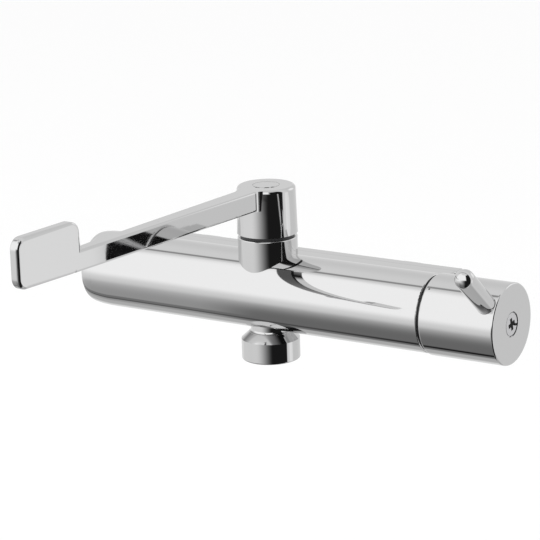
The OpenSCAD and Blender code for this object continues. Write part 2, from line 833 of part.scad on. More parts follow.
module lower_disc() {
    color("White") at_body() port_disc(head_bore_r, seat_z1, -lever_yaw);
}

module seat_seal() {
    color("#202020") at_body() tube_z(head_tube_r, outlet_way_r, -chamber_floor, seat_z1);
}

module gap_ring() {
    color("#181818") at_body()
        tube_x(body_r - 1.8, knob_hollow_r - 0.6, body_right, knob_x0 - free_gap);
}

module stop_ring() {
    hex_r = ring_nut_hex / 2 / cos(30);
    free = turn_cold + turn_hot + stop_lug + stop_play;
    color("#303030") at_body() translate([body_right, 0, 0]) rotate([0, 90, 0]) difference() {
        union() {
            cylinder(r = knob_hollow_r - 0.8, h = stop_x0 - body_right);
            // the stop, which leaves the insert's lug the knob's whole turn
            translate([0, 0, stop_x0 - body_right - e])
                sector_z(knob_hollow_r - 1.1, hex_r + 0.8, 180 - turn_cold - (stop_lug + stop_play) / 2 - (360 - free),
                    360 - free, stop_x1 - stop_x0);
        }
        translate([0, 0, -1]) cylinder(r = hex_r + 0.1, h = stop_x0 - body_right + 2);
    }
}

module knob() {
    color("Silver") at_body() difference() {
        translate([knob_x0, 0, 0]) rotate([0, 90, 0]) rotate_extrude() {
            s = knob_edge_r;
            translate([0, s]) square([knob_r, knob_len - 2 * s]);
            square([knob_r - s, knob_len]);
            for (x = [s, knob_len - s]) translate([knob_r - s, x]) circle(s, $fn = 32);
        }
        bar_x(knob_hollow_r, knob_x0 - 1, hollow_x1);
        bar_x(adjust_r + 1, hollow_x1 - 1, adjust_x1 + 0.5);
        bar_x(3.1, adjust_x1, knob_x1);
        bar_x(end_recess_r, screw_x, knob_x1 + 1);
        // seat and thread of the pin
        translate([pin_x, 0, 0]) rotate([90 - pin_angle, 0, 0]) {
            bar_z(pin_r + 0.1, pin_seat, knob_r + 2);
            bar_z(4, pin_seat - 10, knob_r + 2);
        }
        // seat of the index dot
        translate([knob_x0 + 3.1, 0, 0]) rotate([90 - 51.9, 0, 0]) bar_z(0.6, knob_r - 0.6, knob_r + 1);
    }
}

module knob_insert() {
    hex_r = ring_nut_hex / 2 / cos(30);
    color("#303030") at_body() difference() {
        union() {
            bar_x(knob_hollow_r, insert_x0, insert_x0 + 4);
            bar_x(adjust_r + 4, insert_x0, hollow_x1);
            for (a = [0 : 60 : 300]) rotate([a, 0, 0])
                translate([insert_x0 + 3, -1, adjust_r + 3])
                    cube([hollow_x1 - insert_x0 - 3, 2, knob_hollow_r - adjust_r - 3.4]);
            // the lug that runs between the stops
            translate([stop_x0 + free_gap, 0, 0]) rotate([0, 90, 0])
                sector_z(knob_hollow_r - 1, hex_r + 1, 180 - stop_lug / 2, stop_lug, insert_x0 - stop_x0 - free_gap + e);
        }
        bar_x(adjust_r + 0.3, insert_x0 - 1, insert_x0 + 3);
        translate([insert_x0 + 1, 0, 0]) rotate([0, 90, 0])
            linear_extrude(hollow_x1) spline_outline(adjust_r - 0.8, 0.5, 24);
    }
}

module knob_pin() {
    color("Silver") at_body() translate([pin_x, 0, 0]) rotate([90 - pin_angle, 0, 0]) {
        bar_z(pin_r, pin_seat, pin_reach);
        translate([0, 0, pin_reach]) sphere(pin_r);
        bar_z(4, pin_seat - 9, pin_seat + e);
    }
}

module knob_screw() {
    face = screw_x + end_head_h;
    color("Gainsboro") at_body() difference() {
        union() {
            bar_x(end_recess_r - 0.15, screw_x, face - end_groove_h);
            soft_bar_x(end_recess_r - end_groove, screw_x, face, 0.3);
            bar_x(2.9, adjust_x1 - 12, screw_x + e);
        }
        // cross recess, with a slot from it to the rim
        for (a = [0, 90]) rotate([a + cross_turn, 0, 0])
            translate([face - 2.2, -cross_d / 2, -cross_w / 2]) cube([3, cross_d, cross_w]);
        rotate([-cross_turn, 0, 0]) translate([face - 0.8, 0, -cross_w / 3])
            cube([3, end_recess_r + 1, cross_w / 1.5]);
    }
}

module index_dot() {
    color("#303030") at_body() translate([knob_x0 + 3.1, 0, 0]) rotate([90 - 51.9, 0, 0])
        bar_z(0.6, knob_r - 0.6, knob_r - 0.02);
}

module thermostat_housing() {
    color("#e8e4d8") at_body() difference() {
        bar_x(cart_r, cart_x0, cart_x1);
        bar_x(cart_in_r, spring_x0, cart_x1 + 1);
        bar_x(5.5, cart_x0 - 1, spring_x0 + 1);
        // hot ports and cold ports
        for (x = [hot_x, cold_x]) for (a = [0 : 60 : 300])
            translate([x, 0, 0]) rotate([a + 30, 0, 0]) bar_z(2.5, cart_in_r - 2, cart_r + 2);
        for (x = [hot_x, cold_x]) tube_x(cart_r + 1, cart_r - 1, x - 3.2, x + 3.2);
        // grooves of the ring seals
        for (x = cart_seal_x)
            tube_x(cart_r + 1, cart_r - 1.6, x - cart_groove / 2, x + cart_groove / 2);
    }
}

module thermostat_nut() {
    color("Goldenrod") at_body() difference() {
        union() {
            bar_x(ring_nut_r, cart_x1, body_right);
            translate([body_right - e, 0, 0]) rotate([0, 90, 0]) hexagon(ring_nut_hex, ring_nut_h);
        }
        bar_x(adjust_r + run_gap, cart_x1 - 1, hex_x1 + 1);
    }
}

module thermostat_seals() {
    wire = 0.85;
    color("#202020") at_body()
        for (x = cart_seal_x)
            translate([x, 0, 0]) rotate([0, 90, 0]) ring_z(cart_bore_r - wire, wire);
}

module thermostat_spindle() {
    color("Goldenrod") at_body() difference() {
        union() {
            bar_x(cart_in_r - 1, adjust_x0, adjust_x0 + 5);
            bar_x(adjust_r, adjust_x0, insert_x0 + 2);
            translate([insert_x0 + 2 - e, 0, 0]) rotate([0, 90, 0])
                linear_extrude(adjust_x1 - insert_x0 - 2) spline_outline(adjust_r - 0.8, 0.5, 24);
        }
        bar_x(3.4, adjust_x0 - 1, adjust_x0 + 17);
        bar_x(2.9, adjust_x1 - 14, adjust_x1 + 1);
    }
}

module wax_element() {
    color("#b87333") at_body() {
        bar_x(element_r, spool_x - spool_half, adjust_x0 - 5);
        bar_x(3, adjust_x0 - 5 - e, adjust_x0 + 10);
    }
}

module shuttle() {
    color("Gainsboro") at_body() difference() {
        bar_x(cart_in_r - run_gap, spool_x - spool_half, spool_x + spool_half);
        bar_x(element_r, spool_x - spool_half - 1, spool_x + spool_half + 1);
        // ways for the water past the element
        for (a = [0 : 60 : 300]) rotate([a, 0, 0]) translate([0, 0, (cart_in_r + element_r) / 2])
            bar_x(1.7, spool_x - spool_half - 1, spool_x + spool_half + 1);
    }
}

module return_spring() {
    room = spool_x - spool_half - spring_x0 - spring_gap;
    pitch = (room - spring_wire) / spring_curls;
    echo("return spring: least gap between curls", curl_gap(pitch, spring_wire));
    color("LightSteelBlue") at_body() translate([spring_x0, 0, 0]) rotate([0, 90, 0])
        coil(return_spring_r, spring_wire, spring_curls, pitch);
}

module outlet_neck() {
    color("Silver") at_body() difference() {
        union() {
            bar_z(outlet_thread_r, neck_z1 - e, neck_z1 + neck_tail);
            bar_z(neck_r, bell_z1, neck_z1);
            // the neck draws out to the cone
            translate([0, 0, bell_z1]) rotate_extrude() difference() {
                square([cone_top_r, neck_flare_r]);
                translate([neck_r + neck_flare_r, neck_flare_r]) circle(neck_flare_r, $fn = 48);
            }
            bar_z(neck_r - 1.7, bell_seat, bell_z1 + e);
        }
        bar_z(outlet_way_r, bell_seat - 1, neck_z1 + neck_tail + 1);
    }
}

module outlet_bell() {
    color("Silver") at_body() difference() {
        union() {
            translate([0, 0, bell_z0]) rotate_extrude() {
                r = bell_edge_r;
                square([bell_r - r, bell_h - bell_cone]);
                translate([0, r]) square([bell_r, bell_h - bell_cone - r]);
                translate([bell_r - r, r]) circle(r, $fn = 32);
                polygon([[0, bell_h - bell_cone - e], [bell_r, bell_h - bell_cone - e],
                    [cone_top_r, bell_h], [0, bell_h]]);
            }
        }
        bar_z(neck_r - 1.7, bell_seat - 1, bell_z1 + 1);
        bar_z(relief_r, bell_z0 + bell_thread_len, bell_seat);
        bar_z(thread_r, bell_z0 - 1, bell_z0 + bell_thread_len + e);
    }
}

module outlet_seal() {
    color("#202020") at_body()
        tube_z(relief_r - 0.4, washer_hole_r, bell_seat - 1.8, bell_seat);
}

module nipple(side) {
    x = side * inlet_spacing / 2;
    color("Goldenrod") at_body() difference() {
        union() {
            bar_y(nipple_r, nipple_y0, recess_y, x);
            bar_y(nipple_r + 2, recess_y, flange_y1, x);
            bar_y(nipple_neck_r, flange_y1 - e, collar_y0 + e, x);
            bar_y(nipple_collar_r, collar_y0, collar_y1, x);
        }
        bar_y(5.5, nipple_y0 - 1, collar_y1 + 1, x);
        bar_y(cage_r, cage_y0, collar_y1 + 1, x);
    }
}

// What is taken off a corner of the nut at its lower end
module corner_cut() {
    translate([nut_af / 2 + 0.6, -10, 0]) rotate([0, -30, 0]) translate([0, 0, -5]) cube([12, 20, 5]);
}

module union_nut(side) {
    x = side * inlet_spacing / 2;
    color("Silver") at_body() difference() {
        // flats at top and bottom, and the corners taken off at both ends
        translate([x, nut_y0, 0]) rotate([-90, 0, 0]) rotate([0, 0, 90]) difference() {
            hexagon(nut_af, nut_len);
            for (a = [30 : 60 : 330]) rotate([0, 0, a]) {
                corner_cut();
                translate([0, 0, nut_len]) mirror([0, 0, 1]) corner_cut();
            }
        }
        bar_y(nipple_neck_r + 0.4, nut_y0 - 1, nut_y0 + nut_shoulder + 1, x);
        bar_y(relief_r, nut_y0 + nut_shoulder, nut_y1 - nut_thread_len, x);
        bar_y(thread_r, nut_y1 - nut_thread_len - e, nut_y1 + 1, x);
    }
}

module washer(side) {
    color("#202020") at_body()
        tube_y(nipple_collar_r - 0.2, washer_hole_r, collar_y1, washer_y1, side * inlet_spacing / 2);
}

module strainer(side) {
    x = side * inlet_spacing / 2;
    color("LightSteelBlue") at_body() difference() {
        bar_y(washer_hole_r, collar_y1 + 0.5, collar_y1 + 1.1, x);
        // a sieve of round holes in rings of six and twelve
        translate([x, 0, 0]) {
            bar_y(0.7, collar_y1, washer_y1);
            for (k = [1, 2]) for (i = [0 : 6 * k - 1]) rotate([0, 60 * i / k, 0])
                translate([2.6 * k, 0, 0]) bar_y(0.7, collar_y1, washer_y1);
        }
    }
}

module check_cage(side) {
    x = side * inlet_spacing / 2;
    color("#e8e4d8") at_body() difference() {
        union() {
            tube_y(cage_r, cage_bore_r, cage_y0, cage_y1, x);
            tube_y(cage_r, poppet_r - 0.9, cage_y1 - cage_wall, cage_y1, x);
            translate([x, 0, 0]) for (a = [0 : 120 : 240]) rotate([0, a, 0])
                translate([0, cage_y0, -0.9]) cube([cage_bore_r + 0.5, cage_wall, 1.8]);
            bar_y(poppet_stem_r + 1.4, cage_y0, guide_y, x);
        }
        bar_y(poppet_stem_r + 0.1, cage_y0 - 1, guide_y + 1, x);
    }
}

module check_poppet(side) {
    x = side * inlet_spacing / 2;
    color("#d0d0d0") at_body() {
        bar_y(poppet_r, disc_y0, disc_y1, x);
        bar_y(poppet_stem_r, guide_y - 1, disc_y0 + e, x);
    }
}

module check_spring(side) {
    wire = 0.5;
    curls = 4;
    room = disc_y0 - guide_y - poppet_travel - free_gap;
    pitch = (room - wire) / curls;
    echo("check spring: least gap between curls", curl_gap(pitch, wire));
    color("LightSteelBlue") at_body()
        translate([side * inlet_spacing / 2, guide_y, 0]) rotate([-90, 0, 0])
            coil(poppet_stem_r + 0.9, wire, curls, pitch);
}

module nipple_left() { nipple(-1); }
module nipple_right() { nipple(1); }
module union_nut_left() { union_nut(-1); }
module union_nut_right() { union_nut(1); }
module washer_left() { washer(-1); }
module washer_right() { washer(1); }
module strainer_left() { strainer(-1); }
module strainer_right() { strainer(1); }
module check_cage_left() { check_cage(-1); }
module check_cage_right() { check_cage(1); }
module check_poppet_left() { check_poppet(-1); }
module check_poppet_right() { check_poppet(1); }
module check_spring_left() { check_spring(-1); }
module check_spring_right() { check_spring(1); }

body_shell();
left_cap();
left_cap_seal();
rear_gasket();
rear_cover();
turret_collar();
glide_ring();
lever();
lever_cap();
lever_screw();
headwork_body();
headwork_spindle();
headwork_clip();
spindle_seal();
upper_disc();
lower_disc();
seat_seal();
gap_ring();
stop_ring();
knob();
knob_insert();
knob_pin();
knob_screw();
index_dot();
thermostat_housing();
thermostat_nut();
thermostat_seals();
thermostat_spindle();
wax_element();
shuttle();
return_spring();
outlet_neck();
outlet_bell();
outlet_seal();
nipple_left();
nipple_right();
union_nut_left();
union_nut_right();
washer_left();
washer_right();
strainer_left();
strainer_right();
check_cage_left();
check_cage_right();
check_poppet_left();
check_poppet_right();
check_spring_left();
check_spring_right();
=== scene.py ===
# %% [markdown]
# # Elbow lever tap
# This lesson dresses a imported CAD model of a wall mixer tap. The CAD gives every piece its
# place and size, in metres, with +Z up and +X towards the temperature knob. We first load
# that model, because every later cell takes its places from it.

# %% Load the frame
import math

import bmesh
import bpy
from mathutils import Matrix, Vector


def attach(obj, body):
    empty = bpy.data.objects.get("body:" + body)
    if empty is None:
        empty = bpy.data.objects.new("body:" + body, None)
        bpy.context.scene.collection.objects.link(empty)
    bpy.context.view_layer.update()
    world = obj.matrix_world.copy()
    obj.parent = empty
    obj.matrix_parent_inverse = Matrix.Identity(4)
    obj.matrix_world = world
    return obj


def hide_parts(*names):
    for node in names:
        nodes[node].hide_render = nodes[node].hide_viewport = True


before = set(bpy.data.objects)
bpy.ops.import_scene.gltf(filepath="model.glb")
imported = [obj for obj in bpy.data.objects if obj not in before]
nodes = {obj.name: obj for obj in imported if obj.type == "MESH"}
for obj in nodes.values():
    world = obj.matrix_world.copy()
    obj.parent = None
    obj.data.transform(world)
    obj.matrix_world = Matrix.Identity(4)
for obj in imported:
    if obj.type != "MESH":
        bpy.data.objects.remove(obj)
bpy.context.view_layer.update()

MM = 0.001

# %% [markdown]
# ## The camera
# The photograph was taken with a long lens from the front right and a little above. A
# camera can be placed by eye, but twenty measured edges give its direction, roll and
# distance more closely, so these numbers are a fitted answer. A long lens keeps the sides
# of the round body nearly parallel.

# %% Camera at the photograph's viewing angle
AZIMUTH, ELEVATION, ROLL = (math.radians(d) for d in (33.117, 15.089, -1.778))
LENS_MM, SENSOR_MM = 170.813, 36.0
AIM = Vector((0.992 * MM, -50 * MM, 12.913 * MM))
DISTANCE, FAR_CLIP = 1600.624 * MM, 50.0

back = Vector((math.sin(AZIMUTH) * math.cos(ELEVATION),
               -math.cos(AZIMUTH) * math.cos(ELEVATION), math.sin(ELEVATION)))
level = Vector((math.cos(AZIMUTH), math.sin(AZIMUTH), 0))
upward = back.cross(level)
right = math.cos(ROLL) * level + math.sin(ROLL) * upward
top = -math.sin(ROLL) * level + math.cos(ROLL) * upward

camera = bpy.data.objects.new("camera", bpy.data.cameras.new("camera"))
bpy.context.scene.collection.objects.link(camera)
turn = Matrix((right, top, back)).transposed().to_4x4()
camera.matrix_world = Matrix.Translation(AIM + DISTANCE * back) @ turn
camera.data.lens, camera.data.sensor_width = LENS_MM, SENSOR_MM
camera.data.clip_end = FAR_CLIP
bpy.context.scene.camera = camera
bpy.context.scene.view_settings.view_transform = "Standard"
print("camera at", [round(c, 4) for c in camera.matrix_world.translation])

# %% [markdown]
# ## Node helpers
# Every finish below is a small tree of nodes. Such a tree can be wired by hand, one node
# and one link at a time, but that hides what it does. With one helper that adds a node
# together with its inputs, a tree reads like a formula.

# %% Helpers for node trees
def add_node(tree, kind, inputs=(), **settings):
    node = tree.nodes.new(kind)
    for name, value in settings.items():
        setattr(node, name, value)
    for socket, value in dict(inputs).items():
        if isinstance(value, bpy.types.NodeSocket):
            tree.links.new(value, node.inputs[socket])
        else:
            node.inputs[socket].default_value = value
    return node


def calculate(tree, operation, first, second=0.0):
    node = add_node(tree, "ShaderNodeMath", {0: first, 1: second}, operation=operation)
    return node.outputs[0]


print("node helpers are ready")

# %% [markdown]
# ## The studio that metal sees
# Chrome has no colour of its own: it shows the room. The photograph's room is a white tent
# with a large lamp at the front left, a dark card to the right of the camera, and a dark
# table right below the tap. Real cards and lamps round the tap would do, but they would
# also shade it. So the world paints the room from the direction of a ray alone, and shows
# it to glossy rays only. Plastics and rubber see an even white room, and come out in the
# colours that are written for them.

# %% The direction of a ray, as an azimuth and a height
world = bpy.data.worlds.new("studio")
world.use_nodes = True
bpy.context.scene.world = world
sky = world.node_tree
sky.nodes.clear()

toward = add_node(sky, "ShaderNodeTexCoord").outputs["Generated"]
axes = add_node(sky, "ShaderNodeSeparateXYZ", {0: toward}).outputs
to_front = calculate(sky, "MULTIPLY", axes[1], -1.0)
around = calculate(sky, "ARCTAN2", axes[0], to_front)
height = axes[2]
print("azimuth 0 is the front, +90 the side of the knob")

# %% [markdown]
# ## Soft-edged patches
# A lamp in a tent has no sharp border, because the cloth spreads its light. A patch with
# soft edges is a product of smooth steps. Each patch here is four azimuths and four
# elevations in degrees: where it begins, where it is full, where it starts to fade and
# where it ends.

# %% Helpers for the studio's patches
def smooth_step(value, start, end, low=0.0, high=1.0):
    step = add_node(sky, "ShaderNodeMapRange", {0: value, 1: start, 2: end, 3: low, 4: high},
                    interpolation_type="SMOOTHSTEP")
    return step.outputs[0]


def times(first, *others):
    for other in others:
        first = calculate(sky, "MULTIPLY", first, other)
    return first


def what_is_left(shade, depth=1.0):
    return calculate(sky, "SUBTRACT", 1.0, times(shade, depth))


def soft_span(value, begin, full, fading, end):
    return times(smooth_step(value, begin, full), smooth_step(value, end, fading))


def height_of(elevation):
    return math.sin(math.radians(elevation))


def towards(begin, full):
    return smooth_step(around, math.radians(begin), math.radians(full))


def rising(begin, full):
    return smooth_step(height, height_of(begin), height_of(full))


def sides(begin, full, fading, end):
    return times(towards(begin, full), towards(end, fading))


def heights(begin, full, fading, end):
    return times(rising(begin, full), rising(end, fading))


print("patch helpers are ready")

# %% [markdown]
# ## The lamps and the tent
# Three patches are brighter than the tent: the large lamp, a smaller one behind on the
# right that draws the bright edges, and a low white board on the right that lights the
# paddle's broad face. Each adds its gain to the tent, so they are a table and a loop. The
# tent itself is a little darker behind, where the tap's top faces look.

# %% Lamps, board and tent
LAMPS = (((-84, -64, 38, 52), (-16, 2, 56, 68), 0.40),
         ((132, 142, 164, 172), (-2, 8, 30, 36), 0.45),
         ((108, 114, 126.6, 128.3), (-34, -28, -9, -4), 0.22))
TENT, TENT_BEHIND = 0.98, 0.85
BEHIND_BEGINS, BEHIND_FULL = 0.25, 0.75

lamps = 0.0
for azimuths, elevations, gain in LAMPS:
    lamps = calculate(sky, "ADD", lamps, times(sides(*azimuths), heights(*elevations), gain))
tent = smooth_step(axes[1], BEHIND_BEGINS, BEHIND_FULL, TENT, TENT_BEHIND)
room = calculate(sky, "ADD", tent, lamps)
print("lamps and boards:", len(LAMPS))

# %% [markdown]
# ## The seam over the tap
# The tent has a seam overhead, which draws a soft grey line along the top of the round
# body. A straight seam isn't at one azimuth or one elevation: it lies in a plane through the
# tap, so its place is the ratio of two coordinates of the direction.

# %% The seam of the tent
FLATTEST = 0.1
SEAM, SEAM_RISES, SEAM_DEPTH = (-0.05, 0.03, 0.06, 0.13), (30, 45), 0.62
overhead = calculate(sky, "DIVIDE", axes[1], calculate(sky, "MAXIMUM", height, FLATTEST))
seam = times(soft_span(overhead, *SEAM), rising(*SEAM_RISES))
past_seam = what_is_left(seam, SEAM_DEPTH)
print("the seam takes away", SEAM_DEPTH)

# %% [markdown]
# ## The dark table
# The lower half of the body reflects the table. It is darkest round one direction, fades
# from there, and ends in dark lines at its rear edge, beyond which a grey sheet begins. The
# distance from the darkest direction is a dot product. The place across the table is again
# a ratio, so that its edges stay straight lines along the body.

# %% Where a ray meets the table
TABLE_MIDDLE = Vector((-0.4066, -0.2347, -0.8829))
FLATTEST_DOWN = 0.05
TABLE_BEGINS = (-12, -28)
LEFT_PART, RIGHT_PART, REAR_EDGE = (-0.528, -0.552), (-0.52, -0.46), (0.17, 0.27)
to_table = add_node(sky, "ShaderNodeVectorMath", {0: toward, 1: TABLE_MIDDLE},
                    operation="DOT_PRODUCT").outputs["Value"]
downwards = calculate(sky, "MULTIPLY", height, -1.0)
below = calculate(sky, "DIVIDE", axes[1],
                  calculate(sky, "MAXIMUM", downwards, FLATTEST_DOWN))
low = rising(*TABLE_BEGINS)
to_left, to_right = smooth_step(axes[0], *LEFT_PART), smooth_step(axes[0], *RIGHT_PART)
past_table = smooth_step(below, *REAR_EDGE)
print("the table is darkest towards", [round(c, 2) for c in TABLE_MIDDLE])

# %% [markdown]
# ## The table's rim and the sheet behind it
# The dark line at the rim has three parts: one along the whole edge, and two more that show
# left and right of the turret. Each is a narrow span with a depth of its own.

# %% Table, rim and sheet together
TABLE_ENDS, TABLE_DEPTH, LEFT_RELIEF = 0.52, 0.79, 0.30
SHEET_ENDS, SHEET_FULL, SHEET_DEPTH = 0.95, 0.55, 0.38
RIMS = (((-0.10, -0.02, 0.03, 0.10), 1.0, 0.12),
        ((-0.26, -0.20, 0.0, 0.06), to_left, 0.20),
        ((-0.12, -0.05, 0.05, 0.12), to_right, 0.085))

table = times(smooth_step(to_table, TABLE_ENDS, 1.0, 0.0, TABLE_DEPTH),
              what_is_left(to_left, LEFT_RELIEF))
darkness = 0.0
for span, share, shade in RIMS:
    darkness = calculate(sky, "ADD", darkness, times(soft_span(below, *span), share, shade))
darkness = calculate(sky, "ADD", darkness, times(table, what_is_left(past_table)))
sheet = smooth_step(below, SHEET_ENDS, SHEET_FULL, 0.0, SHEET_DEPTH)
darkness = calculate(sky, "ADD", darkness, times(sheet, past_table))
past_floor = times(what_is_left(darkness, low), past_seam)
print("dark lines at the rim:", len(RIMS))

# %% [markdown]
# ## The dark card
# A black card stands to the right of the camera. It makes the dark upright bands on the
# hub, the collar and the outlet. Its shade on the table is wider than the card itself, so
# the card has an upper and a lower part, and the darker of the two counts.

# %% The card, and the room as metal sees it
CARD_UP_SIDE, CARD_UP_TOP = (38, 50), (62, 54)
CARD_DOWN_SIDE, CARD_DOWN_TOP = (-32, 40), (10, -4)
CARD_END, CARD_DEPTH = (101, 97), 0.985
card_up = times(towards(*CARD_UP_SIDE), rising(*CARD_UP_TOP))
card_down = times(towards(*CARD_DOWN_SIDE), rising(*CARD_DOWN_TOP))
card = times(calculate(sky, "MAXIMUM", card_up, card_down), towards(*CARD_END))
seen_by_metal = times(room, past_floor, what_is_left(card, CARD_DEPTH))

rays = add_node(sky, "ShaderNodeLightPath").outputs
glossy = times(rays["Is Glossy Ray"], what_is_left(rays["Is Camera Ray"]))
change = times(glossy, calculate(sky, "SUBTRACT", seen_by_metal, 1.0))
strength = calculate(sky, "ADD", 1.0, change)
lit = add_node(sky, "ShaderNodeBackground", {"Color": (1, 1, 1, 1), "Strength": strength})
add_node(sky, "ShaderNodeOutputWorld", {"Surface": lit.outputs[0]})
print("nodes in the world:", len(sky.nodes))

# %% [markdown]
# ## The floor
# The tap hangs on a wall, so the floor lies well below it. It is a plain pale sheet that
# catches the soft shadow. Chrome doesn't see it, because the world already shows the table
# there. A sheet that ends far outside the view needs no rounded backdrop.

# %% A helper for meshes, and the floor
FLOOR_Z, FLOOR_HALF = -0.46, 9.0
FLOOR_WHITE, FLOOR_ROUGHNESS = 0.97, 0.9


def mesh_object(name, points, faces):
    mesh = bpy.data.meshes.new(name)
    mesh.from_pydata([tuple(p) for p in points], [], faces)
    made = bpy.data.objects.new(name, mesh)
    bpy.context.scene.collection.objects.link(made)
    return made


floor = mesh_object("floor", [(x, y, FLOOR_Z) for x, y in
                              ((-FLOOR_HALF, -FLOOR_HALF), (FLOOR_HALF, -FLOOR_HALF),
                               (FLOOR_HALF, FLOOR_HALF), (-FLOOR_HALF, FLOOR_HALF))],
                    [(0, 1, 2, 3)])
paper = bpy.data.materials.new("floor_paper")
paper.use_nodes = True
paper_sockets = paper.node_tree.nodes["Principled BSDF"].inputs
paper_sockets["Base Color"].default_value = (FLOOR_WHITE, FLOOR_WHITE, FLOOR_WHITE, 1)
paper_sockets["Roughness"].default_value = FLOOR_ROUGHNESS
floor.data.materials.append(paper)
floor.visible_glossy = False
print("floor at", FLOOR_Z, "m")

# %% [markdown]
# ## A lamp for what isn't metal
# The world is an even white for plastics and rubber, which would leave them flat. A point
# lamp would draw hard shadows, so this is a large rectangle at the front left, where the
# studio's lamp is. Metal doesn't see it, because the world already shows it that lamp.

# %% The lamp
LAMP_PLACE, LAMP_AIM = Vector((-1.3, -1.6, 1.7)), Vector((0, -0.05, 0))
LAMP_WIDTH, LAMP_HEIGHT, LAMP_WATTS = 1.6, 1.2, 9.0
softbox = bpy.data.objects.new("softbox", bpy.data.lights.new("softbox", "AREA"))
bpy.context.scene.collection.objects.link(softbox)
softbox.data.shape, softbox.data.energy = "RECTANGLE", LAMP_WATTS
softbox.data.size, softbox.data.size_y = LAMP_WIDTH, LAMP_HEIGHT
softbox.location = LAMP_PLACE
softbox.rotation_mode = "QUATERNION"
softbox.rotation_quaternion = (LAMP_AIM - LAMP_PLACE).to_track_quat("-Z", "Y")
softbox.visible_glossy = False
print("softbox of", LAMP_WATTS, "W")

# %% [markdown]
# ## Helpers for the finishes
# A flat colour looks like nothing that was ever made. The same three traces return in every
# real finish: a colour, a gloss that wanders a little, and a fine relief. So there is one
# helper for each, and they read the object's own coordinates, which stay with a piece when
# it moves.

# %% Helpers for a finish, its grain, gloss and relief
NOISE_LOW, NOISE_HIGH = 0.3, 0.7


def new_finish(name, colour, metallic=0.0, **sockets):
    finish = bpy.data.materials.new(name)
    finish.use_nodes = True
    shader = finish.node_tree.nodes["Principled BSDF"]
    shader.inputs["Base Color"].default_value = (*colour, 1)
    shader.inputs["Metallic"].default_value = metallic
    for socket, value in sockets.items():
        shader.inputs[socket.replace("_", " ")].default_value = value
    return finish, finish.node_tree, shader


def grain(tree, scale, detail=3.0, roughness=0.55, stretch=(1, 1, 1)):
    place = add_node(tree, "ShaderNodeTexCoord").outputs["Object"]
    pulled = add_node(tree, "ShaderNodeMapping", {"Vector": place, "Scale": stretch}).outputs[0]
    noise = add_node(tree, "ShaderNodeTexNoise",
                     {"Vector": pulled, "Scale": scale, "Detail": detail,
                      "Roughness": roughness})
    return noise.outputs["Fac"]


def wander(tree, shader, pattern, low, high):
    mapped = add_node(tree, "ShaderNodeMapRange",
                      {0: pattern, 1: NOISE_LOW, 2: NOISE_HIGH, 3: low, 4: high})
    tree.links.new(mapped.outputs[0], shader.inputs["Roughness"])


def relief(tree, shader, pattern, depth_mm):
    bump = add_node(tree, "ShaderNodeBump", {"Height": pattern, "Strength": 1.0,
                                             "Distance": depth_mm * MM})
    tree.links.new(bump.outputs[0], shader.inputs["Normal"])


print("finish helpers are ready")

# %% [markdown]
# ## Chrome
# The outside of the tap is brass that was polished and then plated with chromium. Its base
# colour is the metal's own reflection, which is about 0.6 of white. A perfect mirror would
# look like a drawing: very fine polishing haze makes the gloss wander, and a slow waviness
# from the buffing wheel bends the reflections a little.

# %% Chrome plating
CHROME_COLOUR = (0.603, 0.603, 0.604)
HAZE_SCALE, HAZE_LOW, HAZE_HIGH = 90, 0.025, 0.05
WAVE_SCALE, WAVE_DETAIL, WAVE_DEPTH_MM = 28, 1.0, 0.006
chrome, chrome_tree, chrome_shader = new_finish("chrome_plating", CHROME_COLOUR, 1.0)
wander(chrome_tree, chrome_shader, grain(chrome_tree, HAZE_SCALE), HAZE_LOW, HAZE_HIGH)
relief(chrome_tree, chrome_shader, grain(chrome_tree, WAVE_SCALE, WAVE_DETAIL), WAVE_DEPTH_MM)
print("chrome reflects", CHROME_COLOUR[0])

# %% [markdown]
# ## Turned brass and copper, drawn steel
# The nuts, spindles and threads are turned on a lathe, which leaves fine rings, and the
# wire of the springs is drawn, which leaves a long grain. Rings come from a wave texture,
# and a drawn grain from a noise that is stretched along one axis.

# %% Turned brass, copper and steel
RING_SCALE, RING_WANDER, RING_DETAIL, RING_DEPTH_MM = 900.0, 1.5, 2.0, 0.004
TURNED_HAZE_SCALE = 160
# scale, detail, roughness and stretch of the drawn grain, for the gloss and for the relief
DRAWN_GLOSS, DRAWN_RELIEF = (220, 4.0, 0.6, (1, 1, 0.15)), (400, 3.0, 0.6, (1, 1, 0.1))
DRAWN_LOW, DRAWN_HIGH, DRAWN_DEPTH_MM = 0.16, 0.30, 0.004


def turned_metal(name, colour, rough_low, rough_high):
    finish, tree, shader = new_finish(name, colour, 1.0)
    place = add_node(tree, "ShaderNodeTexCoord").outputs["Object"]
    rings = add_node(tree, "ShaderNodeTexWave",
                     {"Vector": place, "Scale": RING_SCALE, "Distortion": RING_WANDER,
                      "Detail": RING_DETAIL}, wave_type="RINGS").outputs["Fac"]
    wander(tree, shader, grain(tree, TURNED_HAZE_SCALE), rough_low, rough_high)
    relief(tree, shader, rings, RING_DEPTH_MM)
    return finish


brass = turned_metal("turned_brass", (0.78, 0.60, 0.30), 0.22, 0.38)
copper = turned_metal("turned_copper", (0.72, 0.42, 0.27), 0.24, 0.40)

steel, steel_tree, steel_shader = new_finish("bright_steel", (0.60, 0.60, 0.61), 1.0)
wander(steel_tree, steel_shader, grain(steel_tree, *DRAWN_GLOSS), DRAWN_LOW, DRAWN_HIGH)
relief(steel_tree, steel_shader, grain(steel_tree, *DRAWN_RELIEF), DRAWN_DEPTH_MM)
print("metals:", brass.name, copper.name, steel.name)
